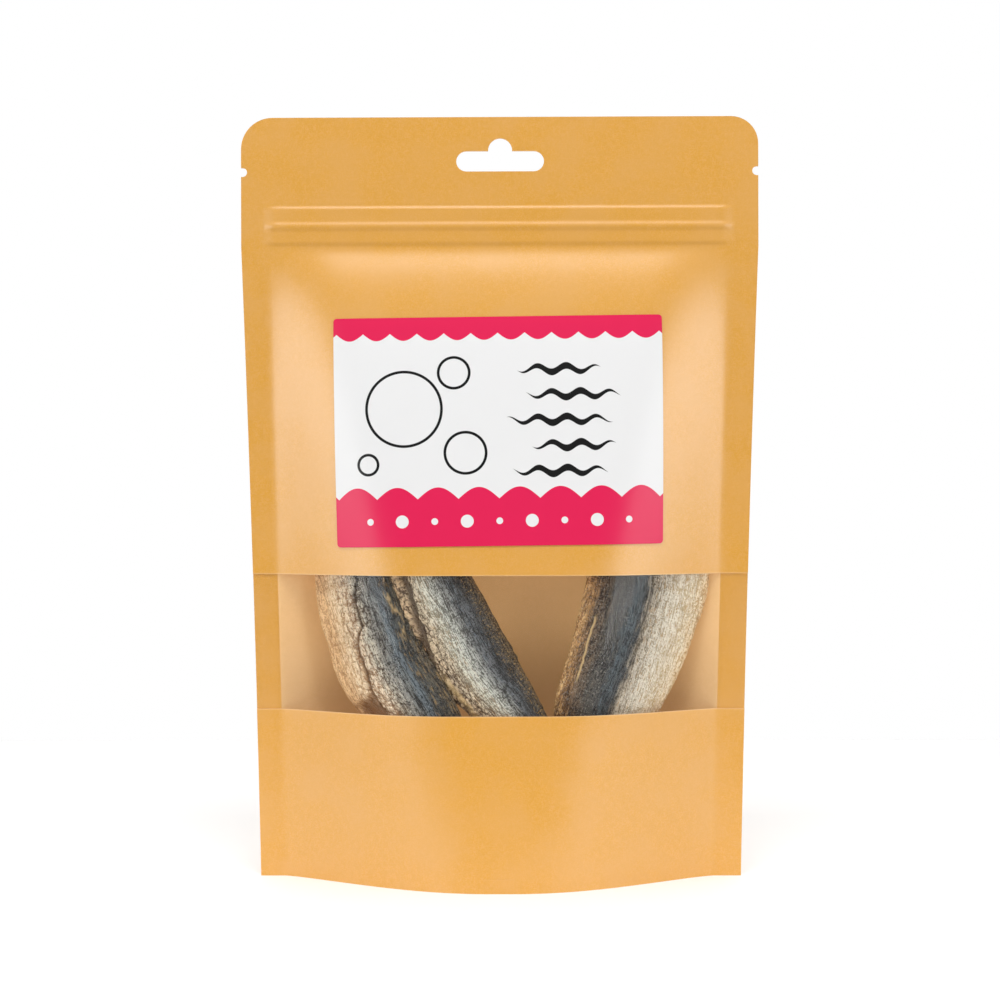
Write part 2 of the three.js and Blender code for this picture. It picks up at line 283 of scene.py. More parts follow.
class Nodes:
    """Short calls that add nodes to one material's tree. Where they take a number, a socket will do too."""

    def __init__(self, name):
        self.material = bpy.data.materials.new(name)
        self.material.use_nodes = True
        self.tree = self.material.node_tree
        self.tree.nodes.clear()
        self.output = self.tree.nodes.new("ShaderNodeOutputMaterial")

    def set(self, socket, value):
        if isinstance(value, bpy.types.NodeSocket):
            self.tree.links.new(value, socket)
        else:
            socket.default_value = value

    def add(self, kind, inputs=None, **settings):
        node = self.tree.nodes.new(kind)
        for key, value in settings.items():
            setattr(node, key, value)
        for key, value in (inputs or {}).items():
            self.set(node.inputs[key], value)
        return node

    def math(self, operation, a, b=0.0, c=0.0):
        return self.add("ShaderNodeMath", {0: a, 1: b, 2: c}, operation=operation).outputs[0]

    def value_range(self, value, low, high, to_low=0.0, to_high=1.0):
        inputs = {"Value": value, "From Min": low, "From Max": high, "To Min": to_low, "To Max": to_high}
        return self.add("ShaderNodeMapRange", inputs, interpolation_type="SMOOTHSTEP").outputs[0]

    def mix(self, factor, a, b, blend="MIX"):
        node = self.add("ShaderNodeMix", data_type="RGBA", blend_type=blend)
        for socket, value in ((0, factor), (6, a), (7, b)):
            self.set(node.inputs[socket], value)
        return node.outputs[2]

    def ramp(self, value, stops):
        node = self.add("ShaderNodeValToRGB", {"Fac": value})
        elements = node.color_ramp.elements
        while len(elements) < len(stops):
            elements.new(0.5)
        for element, (place, color) in zip(elements, stops):
            element.position = place
            element.color = color
        return node.outputs[0]

    def attribute(self, name):
        return self.add("ShaderNodeAttribute", attribute_name=name)

    def place(self, stretch=(1, 1, 1)):
        """The point in the row frame, stretched for a texture that runs one way."""
        point = self.add("ShaderNodeTexCoord").outputs["Object"]
        return self.add("ShaderNodeMapping", {"Vector": point, "Scale": stretch}).outputs[0]

    def noise(self, vector, scale, detail=3.0, roughness=0.5):
        inputs = {"Vector": vector, "Scale": scale, "Detail": detail, "Roughness": roughness}
        return self.add("ShaderNodeTexNoise", inputs).outputs[0]

    def bump(self, height, distance, strength=1.0, normal=None):
        inputs = {"Height": height, "Distance": distance, "Strength": strength}
        if normal is not None:
            inputs["Normal"] = normal
        return self.add("ShaderNodeBump", inputs).outputs[0]

    def principled(self, **inputs):
        named = {key.replace("_", " "): value for key, value in inputs.items()}
        return self.add("ShaderNodeBsdfPrincipled", named)

    def finish(self, shader):
        self.tree.links.new(shader, self.output.inputs["Surface"])
        return self.material


def rgb(red, green, blue):
    """A colour given as sRGB from 0 to 255, as linear RGBA."""
    def linear(value):
        value /= 255
        return value / 12.92 if value <= 0.04045 else ((value + 0.055) / 1.055) ** 2.4

    return (linear(red), linear(green), linear(blue), 1.0)


def darker(color, share):
    return tuple(part * share for part in color[:3]) + (1.0,)


KRAFT = (0.71, 0.330, 0.016, 1.0)
KRAFT_PALE = (0.74, 0.376, 0.080, 1.0)
INSIDE = (0.61, 0.38, 0.175, 1.0)
INSIDE_PALE = (0.64, 0.41, 0.205, 1.0)
# A painted highlight: the pale line along the window's cut edges.
CUT_HIGHLIGHT = (0.80, 0.50, 0.22, 1.0)
# A painted glow: emission for the light that comes through the paper inside the pouch.
GLOW = (1.0, 0.60, 0.24, 1.0)


def kraft_material(name, tone, pale, coat, cut_at=(), glow=0.0):
    """Fibrous paper with faint clouds in it, under a satin coat. Along a cut at each height in cut_at it is
    paler, a painted highlight line.
    glow is a painted glow: emission for light that comes through the paper, half as much of it at the
    window's foot."""
    nodes = Nodes(name)
    z = nodes.add("ShaderNodeSeparateXYZ", {0: nodes.place()}).outputs[2]
    clouds = nodes.noise(nodes.place(), 60, 2.0)
    mottles = nodes.noise(nodes.place(), 500, 3.0, 0.6)
    across = nodes.noise(nodes.place((1, 1, 3)), 1100, 2.0, 0.6)
    upright = nodes.noise(nodes.place((3, 3, 1)), 1100, 2.0, 0.6)
    fibres = nodes.math("MAXIMUM", across, upright)
    color = nodes.mix(nodes.value_range(fibres, 0.44, 0.66), tone, pale)
    color = nodes.mix(nodes.value_range(mottles, 0.3, 0.7, 0.0, 0.5), color, darker(tone, 0.94))
    color = nodes.mix(nodes.value_range(clouds, 0.35, 0.68, 0.0, 0.55), color, darker(pale, 0.97))
    # Painted highlight: a pale line along each cut.
    for height in cut_at:
        away = nodes.math("ABSOLUTE", nodes.math("SUBTRACT", z, height))
        color = nodes.mix(nodes.value_range(away, 0.1 * MM, 0.5 * MM, 0.7, 0.0), color, CUT_HIGHLIGHT)
    relief = nodes.math("ADD", fibres, nodes.math("MULTIPLY", mottles, 0.6))
    # Painted glow, fading to half at the window's foot.
    if glow:
        glow = nodes.value_range(z, WINDOW_LOW, WINDOW_HIGH - 15 * MM, 0.5 * glow, glow)
    shader = nodes.principled(
        Base_Color=color,
        Roughness=0.7,
        Specular_IOR_Level=0.1,
        Coat_Weight=coat,
        Coat_IOR=1.85,
        Coat_Roughness=0.34,
        Emission_Color=GLOW,
        Emission_Strength=glow,
        Normal=nodes.bump(relief, 0.05 * MM, 0.35),
    )
    return nodes.finish(shader.outputs[0])


def film_material():
    """Clear film: it lets through what is behind it, with a gloss that grows at a slant, and faint haze."""
    nodes = Nodes("clear_film")
    waves = nodes.noise(nodes.place((1, 1, 0.35)), 45, 1.0)
    normal = nodes.bump(waves, 0.3 * MM, 0.4)
    slant = nodes.add("ShaderNodeLayerWeight", {"Blend": 0.5, "Normal": normal}).outputs["Facing"]
    mirror = nodes.math("MULTIPLY_ADD", nodes.math("POWER", slant, 5.0), 0.5, 0.01)
    gloss = nodes.add("ShaderNodeBsdfGlossy", {"Roughness": 0.1, "Normal": normal})
    haze = nodes.add("ShaderNodeBsdfDiffuse", {"Color": (0.9, 0.86, 0.82, 1)})
    clear = nodes.add("ShaderNodeBsdfTransparent", {"Color": (0.998, 0.997, 0.995, 1)})
    milky = nodes.add("ShaderNodeMixShader", {0: 0.005, 1: clear.outputs[0], 2: haze.outputs[0]})
    film = nodes.add("ShaderNodeMixShader", {0: mirror, 1: milky.outputs[0], 2: gloss.outputs[0]})
    return nodes.finish(film.outputs[0])


# Pouch ------------------------------------------------------------------------

SEAL_STEPS = 5
PANEL_STEPS = 88


def panel_columns():
    """From -2, the left edge, through -1 and 1, the inner edges of the seals, to 2."""
    seal = np.linspace(1, 2, SEAL_STEPS + 1)[1:]
    return np.concatenate([-seal[::-1], np.linspace(-1, 1, PANEL_STEPS + 1), seal])


def panel_points(rows, inset, side):
    """The grid of a panel's points, inset from its outer face. side is -1 in front and 1 at the back."""
    column, z = np.meshgrid(panel_columns()[:: -side], rows)
    inner = inner_edge(column, z)
    size = np.abs(column)
    x = np.sign(column) * np.where(size <= 1, inner * size, inner + seal_width(column) * (size - 1))
    waves = WAVE_HEIGHT * lattice_noise(x / WAVE_ACROSS + 40 * side, z / WAVE_UP, 5)
    waves *= smooth(0, 0.25, 1 - np.abs(x) / inner) * smooth(0.02, 0.2, drop(z))
    y = WALL + bulge(x, z) + zip_relief(x, z) + waves - inset
    return np.stack([x, side * y, z], -1)


def even(low, high, step):
    """Values from low to high, evenly spaced at about the step."""
    return np.linspace(low, high, 1 + max(1, round((high - low) / step)))


PANEL_STEP = 2.2 * MM
ZIP_STEP = 0.35 * MM
FILM_STEP = 1.5 * MM
ZIP_STEPS_FROM = ZIP_FOOT - 4 * MM
UPPER_ROWS = np.concatenate([
    even(WINDOW_HIGH, ZIP_STEPS_FROM, PANEL_STEP)[:-1],
    even(ZIP_STEPS_FROM, ZIP_FLANGE_TOP, ZIP_STEP),
    even(ZIP_FLANGE_TOP + 0.2 * MM, HEIGHT, PANEL_STEP),
])
LOWER_ROWS = even(0, WINDOW_LOW, PANEL_STEP)
MIDDLE_ROWS = even(WINDOW_LOW, WINDOW_HIGH, PANEL_STEP)
CUT_DEPTH = 20 * MM  # from the middle plane to either end of a cutter
CUT_PAST = 2 * MM  # how far a cutter stands past the pouch's edge


def prism(name, outline):
    """A cutter that runs through the pouch, from an outline of x and z that turns to the left."""
    count = len(outline)
    front = [(x, -CUT_DEPTH, z) for x, z in outline]
    back = [(x, CUT_DEPTH, z) for x, z in outline]
    sides = [((i + 1) % count, i, i + count, (i + 1) % count + count) for i in range(count)]
    mesh = bpy.data.meshes.new(name)
    caps = [tuple(range(count)), tuple(range(2 * count - 1, count - 1, -1))]
    mesh.from_pydata(front + back, [], caps + sides)
    thing = bpy.data.objects.new(name, mesh)
    bpy.context.scene.collection.objects.link(thing)
    return thing


def arc(x, z, radius, start, end, steps=12):
    """Points of x and z round a centre, from one angle to another in degrees."""
    angles = np.radians(np.linspace(start, end, steps + 1))
    return [(x + radius * math.cos(a), z + radius * math.sin(a)) for a in angles]


def slot_outline():
    """The hang hole: a slot with round ends and a bump in the middle of its top."""
    end = SLOT_THICKNESS / 2
    reach = SLOT_WIDTH / 2 - end
    bump_z = SLOT_TOP - SLOT_BUMP
    low = math.degrees(math.asin((SLOT_HEIGHT + end - bump_z) / SLOT_BUMP))
    outline = arc(SLOT_X + reach, SLOT_HEIGHT, end, -90, 90)
    outline += arc(SLOT_X, bump_z, SLOT_BUMP, low, 180 - low, 20)
    outline += arc(SLOT_X - reach, SLOT_HEIGHT, end, 90, 270)
    return outline


def corner_outline(radius):
    """What falls away outside the rounded corner on the right."""
    x, z = TOP_WIDTH / 2 - radius, HEIGHT - radius
    side, top = TOP_WIDTH / 2 + CUT_PAST, HEIGHT + CUT_PAST
    return [(side, z), (side, top), (x, top)] + arc(x, z, radius, 90, 0)


def notch_outline():
    """The tear notch on the right: a nick with a round end."""
    half = NOTCH_THICKNESS / 2
    side = TOP_WIDTH / 2 + CUT_PAST
    end = arc(TOP_WIDTH / 2 - NOTCH_DEPTH + half, NOTCH_HEIGHT, half, 90, 270)
    return end + [(side, NOTCH_HEIGHT - half), (side, NOTCH_HEIGHT + half)]


def on_side(hand, outline):
    """An outline drawn on the right, or its mirror image on the left where hand is -1."""
    return outline if hand > 0 else [(-x, z) for x, z in reversed(outline)]


def header_cutters():
    cutters = [prism("slot_cutter", slot_outline())]
    for hand, radius in CORNER_RADII.items():
        cutters.append(prism("corner_cutter", on_side(hand, corner_outline(radius))))
        cutters.append(prism("notch_cutter", on_side(hand, notch_outline())))
    return cutters


def cut(thing, cutters):
    """Takes the cutters' shapes out of a piece for good."""
    for cutter in cutters:
        modifier = thing.modifiers.new("cut", "BOOLEAN")
        modifier.operation = "DIFFERENCE"
        modifier.solver = "EXACT"
        modifier.object = cutter
    bpy.context.view_layer.update()
    shaped = thing.evaluated_get(bpy.context.evaluated_depsgraph_get())
    mesh = bpy.data.meshes.new_from_object(shaped)
    thing.modifiers.clear()
    thing.data = mesh
    mesh.set_sharp_from_angle(angle=SHARP_ANGLE)


def tint_inside(panel):
    """Gives the second material to the faces that look into the pouch."""
    for face in panel.data.polygons:
        x, y, z = face.center
        faces_inwards = face.normal.y * y < 0
        if faces_inwards and z < ZIP_FOOT and abs(x) < inner_edge(x, z):
            face.material_index = 1


def make_panel(name, rows, side, outside, inside):
    """One panel or part of one, with its outer face on the given side of the pouch."""
    vertices, faces = slab(panel_points(rows, 0, side), panel_points(rows, SHEET, side))
    panel = piece(name, vertices, faces, [outside, inside], "pouch")
    tint_inside(panel)
    return panel


def make_paper(front, kraft, inside):
    """The front panel above and below the window, and the whole back panel."""
    back_rows = np.concatenate([LOWER_ROWS[:-1], MIDDLE_ROWS[:-1], UPPER_ROWS])
    upper = make_panel("kraft_front_upper", UPPER_ROWS, -1, front, inside)
    make_panel("kraft_front_lower", LOWER_ROWS, -1, front, inside)
    back = make_panel("kraft_back", back_rows, 1, kraft, inside)
    cutters = header_cutters()
    for panel in (upper, back):
        cut(panel, cutters)
    for cutter in cutters:
        bpy.data.objects.remove(cutter)


def make_gusset(kraft):
    """The bottom sheet: up along the front panel, over in a fold, and down along the back panel."""
    column = np.linspace(-1, 1, PANEL_STEPS + 1)
    skirt = np.linspace(0.4 * MM, GUSSET_SKIRT, 4)[:-1]
    line = np.linspace(-1, 1, 41)

    def face(lift):
        """The grid of one face of the sheet, lifted off the panels and off the line of the fold."""
        x = column * inner_edge(column, 0)
        reach = np.maximum(bulge(x, 0), 0.2 * MM)[None, :]
        rise = np.sqrt(np.maximum(GUSSET_HALF_SHEET ** 2 - reach ** 2, 0))
        side = np.abs(line)[:, None]
        slope = GUSSET_ROUNDNESS * rise * side ** (GUSSET_ROUNDNESS - 1) / reach
        length = np.hypot(1, slope)
        y = line[:, None] * reach - lift * np.sign(line[:, None]) * np.minimum(slope / length, 1)
        z = GUSSET_SKIRT + rise * (1 - side ** GUSSET_ROUNDNESS) + lift / length
        below = np.broadcast_to(skirt[:, None], (len(skirt), len(x)))
        front = np.broadcast_to(-reach + lift, below.shape)
        y = np.concatenate([front, y, -front[::-1]])
        z = np.concatenate([below, z, below[::-1]])
        return np.stack([np.broadcast_to(x, y.shape), y, z], -1)

    upper, lower = (face(lift)[:, ::-1] for lift in GUSSET_LIFTS)
    vertices, faces = slab(upper, lower)
    piece("kraft_gusset", vertices, faces, [kraft], "pouch")


def make_film(material):
    gap = 0.02 * MM
    rows = even(WINDOW_LOW + gap, WINDOW_HIGH - gap, FILM_STEP)
    outer, inner = (panel_points(rows, depth, -1) for depth in FILM_DEPTHS)
    vertices, faces = slab(outer, inner)
    piece("window_film_clear", vertices, faces, [material], "window_film")


# Label ------------------------------------------------------------------------

def make_label(material):
    """A sticker with round corners that follows the front panel. Its grid is pulled in at the corners."""
    across = even(-LABEL_WIDTH / 2, LABEL_WIDTH / 2, LABEL_STEP)
    up = even(-LABEL_HEIGHT / 2, LABEL_HEIGHT / 2, LABEL_STEP)
    near_edge = np.array([0.1, 0.3, 0.6, 1.0]) * LABEL_RADIUS
    across = np.unique(np.concatenate([across, across[0] + near_edge, across[-1] - near_edge]))
    up = np.unique(np.concatenate([up, up[0] + near_edge, up[-1] - near_edge]))
    u, v = np.meshgrid(across, up)
    for hand in (-1, 1):
        for end in (-1, 1):
            corner_u = hand * (LABEL_WIDTH / 2 - LABEL_RADIUS)
            corner_v = end * (LABEL_HEIGHT / 2 - LABEL_RADIUS)
            off_u, off_v = hand * (u - corner_u), end * (v - corner_v)
            inside = (off_u > 0) & (off_v > 0)
            longest = np.maximum(off_u, off_v)
            pull = longest / np.maximum(np.hypot(off_u, off_v), 1e-9)
            u = np.where(inside, corner_u + hand * off_u * pull, u)
            v = np.where(inside, corner_v + end * off_v * pull, v)
    along = LABEL_X + u * math.cos(LABEL_TURN) - v * math.sin(LABEL_TURN)
    z = LABEL_Z + u * math.sin(LABEL_TURN) + v * math.cos(LABEL_TURN)
    x = x_along(along, z)
    y = -(WALL + bulge(x, z))
    outer = np.stack([x, y - LABEL_GAP - LABEL_THICKNESS, z], -1)
    inner = np.stack([x, y - LABEL_GAP, z], -1)
    vertices, faces = slab(outer, inner)
    sticker = piece("label_sticker", vertices, faces, [material], "label")
    place = np.stack([u, v, np.zeros_like(u)], -1).reshape(-1, 3) / MM
    set_vectors(sticker, "print", np.concatenate([place, place]))


PINK = rgb(221, 24, 80)
WHITE = rgb(229, 229, 229)
BLACK = rgb(5, 5, 5)


def label_material():
    """Fields of colour with scalloped edges, plain dots and rings, and short waves. Sizes are in
    millimetres, and places are from the middle of the label."""
    nodes = Nodes("label_paper")
    print_place = nodes.add("ShaderNodeSeparateXYZ", {0: nodes.attribute("print").outputs["Vector"]})
    u, v = print_place.outputs[0], print_place.outputs[1]

    def inked(distance):
        """1 where a signed distance in millimetres is below 0, with a soft edge as printed."""
        return nodes.value_range(distance, -0.08, 0.08, 1.0, 0.0)

    def scallops(width, depth):
        wave = nodes.math("SINE", nodes.math("MULTIPLY", u, math.pi / width))
        return nodes.math("MULTIPLY", nodes.math("ABSOLUTE", wave), depth)

    def off(center_u, center_v):
        across = nodes.math("SUBTRACT", u, center_u)
        up = nodes.math("SUBTRACT", v, center_v)
        squares = nodes.math("MULTIPLY_ADD", across, across, nodes.math("MULTIPLY", up, up))
        return nodes.math("SQRT", squares)

    def dot(center_u, center_v, radius):
        return inked(nodes.math("SUBTRACT", off(center_u, center_v), radius))

    def ring(center_u, center_v, radius, thickness):
        away = nodes.math("SUBTRACT", off(center_u, center_v), radius)
        return inked(nodes.math("SUBTRACT", nodes.math("ABSOLUTE", away), thickness / 2))

    def short_wave(center_u, center_v, length, thickness, period):
        """A wavy stroke that tapers to both ends."""
        along = nodes.math("SUBTRACT", u, center_u)
        turn = nodes.math("SINE", nodes.math("MULTIPLY", along, 2 * math.pi / period))
        middle = nodes.math("MULTIPLY_ADD", turn, 0.11 * period, center_v)
        away = nodes.math("ABSOLUTE", nodes.math("SUBTRACT", v, middle))
        share = nodes.math("DIVIDE", along, length / 2)
        taper = nodes.math("SUBTRACT", 1.0, nodes.math("MULTIPLY", share, share))
        return inked(nodes.math("SUBTRACT", away, nodes.math("MULTIPLY", taper, thickness / 2)))

    bottom = nodes.math("SUBTRACT", v, nodes.math("ADD", scallops(14.6, 4.2), -24.5))
    top = nodes.math("SUBTRACT", nodes.math("SUBTRACT", 35.5, scallops(9.75, 2.6)), v)
    color = nodes.mix(nodes.math("MAXIMUM", inked(bottom), inked(top)), WHITE, PINK)
    for row in range(5):
        stroke = short_wave(22 + 5 * (row % 2), 22 - 9.2 * row, 30 + 4 * (row % 3), 2.6, 10.5)
        color = nodes.mix(stroke, color, BLACK)
    rings = (-34, 8, 13.5), (-16, 21, 5.6), (-12, -8, 7.4), (-47, -12, 3.6)
    for center_u, center_v, radius in rings:
        color = nodes.mix(ring(center_u, center_v, radius, 1.0), color, BLACK)
    for step in range(9):
        radius = 2.3 if step % 2 else 1.2
        color = nodes.mix(dot(-46.4 + 11.6 * step, -32.5, radius), color, WHITE)
    fine = nodes.noise(nodes.place(), 900, 2.0)
    shader = nodes.principled(
        Base_Color=color,
        Roughness=0.5,
        Specular_IOR_Level=0.15,
        Coat_Weight=0.5,
        Coat_Roughness=0.25,
        Normal=nodes.bump(fine, 0.02 * MM, 0.3),
    )
    return nodes.finish(shader.outputs[0])


# Herring ----------------------------------------------------------------------

# From the lower end to the upper: the spine's x and z, how far the front side stays behind the front
# panel, and the width and thickness there, as in the part's source, in millimetres. turn is round the
# spine, in degrees.
HERRINGS = {
    "herring_left": {
        "turn": -14,
        "spine": [
            (-11, 19, 4, 6, 5),
            (-14.5, 29, 3, 20, 9),
            (-22.5, 45, 2.5, 27, 12),
            (-32.2, 62, 2, 30, 12.5),
            (-41.9, 77, 1.8, 33, 12.5),
            (-47.8, 93, 1.8, 31, 12),
            (-52.9, 110, 1.8, 28, 11),
            (-56, 135, 1.8, 22, 9),
            (-54, 158, 1.6, 14, 6.5),
            (-51, 176, 1.5, 8, 4.5),
            (-49, 190, 1.5, 17, 2),
        ],
    },
    "herring_middle": {
        "turn": -4,
        "spine": [
            (26, 18, 3.5, 13, 2),
            (22, 33, 2.5, 7.5, 4.5),
            (14.5, 49, 2, 12.5, 8),
            (5.5, 62, 1.5, 18.5, 10.5),
            (-6.5, 77, 1.5, 25, 11.5),
            (-15.5, 93, 1.5, 26, 12),
            (-24.2, 110, 1.5, 24.5, 12),
            (-30, 135, 1.5, 25, 11.5),
            (-29, 158, 1.5, 21, 10),
            (-25, 178, 1.5, 12, 7),
            (-23, 188, 1.5, 4, 3),
        ],
    },
    "herring_right": {
        "turn": 14,
        "spine": [
            (29, 34, 12, 6, 5),
            (31, 40, 10, 19, 9),
            (34, 50, 7, 30, 12),
            (37.4, 62, 3.2, 36, 12.5),
            (43.3, 77, 2.8, 39.3, 12),
            (48.8, 93, 2.8, 41.5, 11),
            (53.2, 110, 2.9, 43.6, 9),
            (53.6, 128, 2.7, 39.5, 8.4),
            (53, 150, 1.6, 30, 8.5),
            (49, 168, 1.6, 15, 6),
            (46, 182, 1.6, 9, 4),
            (43, 196, 1.6, 20, 2),
        ],
    },
}
FISH_CLEARANCE = 0.6 * MM  # to both panels
FISH_TAPER = 6 * MM  # the wrinkles fade out towards both ends
SPAN_STEPS = 60

# The grid is finest behind the window
FRONT_STEPS = 180
BACK_STEPS = 44
FINE_STEP = 0.32 * MM
COARSE_STEP = 1.1 * MM
FINE_FROM = WINDOW_LOW - 4.2 * MM
FINE_TO = WINDOW_HIGH + 3.4 * MM


def through_points(points, count):
    """A smooth curve through the points, evenly sampled in each of its spans: centripetal Catmull-Rom."""
    points = np.asarray(points, float)
    points = np.concatenate([[2 * points[0] - points[1]], points, [2 * points[-1] - points[-2]]])
    samples = []
    for p0, p1, p2, p3 in zip(points, points[1:], points[2:], points[3:]):
        spans = [np.linalg.norm(b - a) for a, b in ((p0, p1), (p1, p2), (p2, p3))]
        knots = np.cumsum([0] + [max(span, 1e-9) ** 0.5 for span in spans])
        t = np.linspace(knots[1], knots[2], count, endpoint=False)[:, None]

        def blend(a, b, low, high):
            return (a * (high - t) + b * (t - low)) / (high - low)

        a1 = blend(p0, p1, knots[0], knots[1])
        a2 = blend(p1, p2, knots[1], knots[2])
        a3 = blend(p2, p3, knots[2], knots[3])
        b1 = blend(a1, a2, knots[0], knots[2])
        b2 = blend(a2, a3, knots[1], knots[3])
        samples.append(blend(b1, b2, knots[1], knots[2]))
    samples.append(points[-2][None])
    return np.concatenate(samples)


def fish_sections(spine, turn):
    """Centres, half width vectors and half thickness vectors along a fish, and the length so far."""
    x, z, behind, width, thickness = (np.array(column) * MM for column in zip(*spine))
    centres = np.stack([x, behind + thickness / 2 - bulge(x, z), z], -1)
    fine = through_points(centres, SPAN_STEPS)
    sizes = through_points(np.stack([width, thickness, 0 * width], -1) / 2, SPAN_STEPS)
    stations = np.concatenate([
        even(fine[0, 2], FINE_FROM, COARSE_STEP)[:-1],
        even(FINE_FROM, FINE_TO, FINE_STEP)[:-1],
        even(FINE_TO, fine[-1, 2], COARSE_STEP),
    ])
    centre = np.stack([np.interp(stations, fine[:, 2], fine[:, i]) for i in range(3)], -1)
    half_wide = np.interp(stations, fine[:, 2], sizes[:, 0])
    half_thick = np.interp(stations, fine[:, 2], sizes[:, 1])
    upwards = np.gradient(centre, axis=0)
    upwards /= np.linalg.norm(upwards, axis=1)[:, None]
    sideways = np.cross((0, -1, 0), upwards)
    sideways /= np.linalg.norm(sideways, axis=1)[:, None]
    angle = math.radians(turn)
    sideways = sideways * math.cos(angle) + np.cross(upwards, sideways) * math.sin(angle)
    forwards = np.cross(upwards, sideways)
    length = np.concatenate([[0], np.cumsum(np.linalg.norm(np.diff(centre, axis=0), axis=1))])
    return centre, sideways * half_wide[:, None], forwards * half_thick[:, None], length


def fish_grid(centre, wide, thick):
    """Rings of points round a fish, from its right side over the front, the directions outwards there, and
    each point's share of the way across, from 0 on the left to 1 on the right."""
    angles = np.concatenate([
        np.linspace(math.pi, 0, FRONT_STEPS, endpoint=False),
        np.linspace(0, -math.pi, BACK_STEPS, endpoint=False),
    ])
    cos, sin = np.cos(angles)[None, :, None], np.sin(angles)[None, :, None]
    points = centre[:, None] + wide[:, None] * cos + thick[:, None] * sin
    outwards = wide[:, None] * cos / np.sum(wide ** 2, -1)[:, None, None]
    outwards = outwards + thick[:, None] * sin / np.sum(thick ** 2, -1)[:, None, None]
    outwards /= np.linalg.norm(outwards, axis=-1)[..., None]
    return points, outwards, np.broadcast_to((1 - np.cos(angles)) / 2, points.shape[:2])


def keep_inside(points, share):
    """Sets a fish back until all but its sides is clear of the front panel, and presses in whatever is
    still past either panel."""
    reach = np.maximum(bulge(points[..., 0], points[..., 2]) - FISH_CLEARANCE, 0.1 * MM)
    middle = (share > 0.1) & (share < 0.9)
    set_back = np.max(np.where(middle, -reach - points[..., 1], 0))
    points[..., 1] = np.clip(points[..., 1] + set_back, -reach, reach)


def make_herring(name, material, relief):
    """One fish. relief(share across, mm across, mm along, height) gives how far the skin stands out, in
    millimetres, and from 0 to 1 how deep it lies in a crease, how high it is in its fine wrinkles, and
    where a golden crack runs. The crease value sets painted shade and the height in the wrinkles a painted
    highlight on the skin."""
    centre, wide, thick, length = fish_sections(**HERRINGS[name])
    points, outwards, share = fish_grid(centre, wide, thick)
    strides = np.linalg.norm(np.diff(points, axis=1, prepend=points[:, :1]), axis=-1)
    around = np.cumsum(strides, axis=1)
    around = (around - around[:, FRONT_STEPS // 2, None]) / MM
    along = np.broadcast_to(length[:, None], share.shape)
    height = np.broadcast_to(centre[:, None, 2], share.shape)
    out, crease, rise, gilt = relief(share, around, along / MM, height / MM)
    taper = smooth(0, FISH_TAPER, along) * smooth(0, FISH_TAPER, length[-1] - along)
    points = points + outwards * (out * MM * taper)[..., None]
    keep_inside(points, share)

    vertices, faces = tube(points, [centre[0], centre[-1]])
    fish = piece(name + "_skin", vertices, faces, [material], name, sharp_edges=False)
    skin = np.stack([around, along / MM, np.zeros_like(along)], -1).reshape(-1, 3)
    set_vectors(fish, "skin", np.concatenate([skin, skin[:1], skin[-1:]]))
    for key, values in (("across", share), ("crease", crease), ("rise", rise), ("gilt", gilt)):
        flat = values.reshape(-1)
        set_floats(fish, key, np.concatenate([flat, flat[:1], flat[-1:]]))


def puckers(across, along, size, stretch, seed):
    """Rounded bumps with sharp creases between them: how high a point is, and how deep in a crease, both
    from 0 to 1."""
    bent_u = across / size + 0.4 * lattice_noise(across / size, along / size, seed + 1)
    bent_v = along / size / stretch + 0.4 * lattice_noise(across / size + 9, along / size, seed + 2)
    nearest, second = cell_noise(bent_u, bent_v, seed)
    apart = second - nearest
    return np.clip(apart / 0.6, 0, 1) ** 0.7, 1 - smooth(0.0, 0.24, apart)


def folds(across, along, width, length, seed):
    """Lengthwise folds that run into each other: round on top, from 1 down to 0 in the grooves."""
    waver = 0.9 * lattice_noise(across / 8, along / 11, seed + 1)
    waver = waver + 0.25 * lattice_noise(across / 2, along / 3.5, seed + 2)
    return np.abs(lattice_noise(across / width + waver, along / length, seed)) ** 0.6


def band(value, middle, half, soft):
    """1 in a band round middle, falling to 0 over soft."""
    return 1 - smooth(half, half + soft, np.abs(value - middle))


def wander(height, scale, seed, size):
    """A line's wander along the fish."""
    return size * lattice_noise(height / scale, 0 * height, seed)


# Each relief runs from share 0, the fish's left side, to 1. Heights and sizes are in millimetres

FURROW_HEIGHTS = (62, 68, 77, 85, 92, 98, 108)
FURROW_SHARES = (0.30, 0.31, 0.35, 0.37, 0.46, 0.50, 0.565)


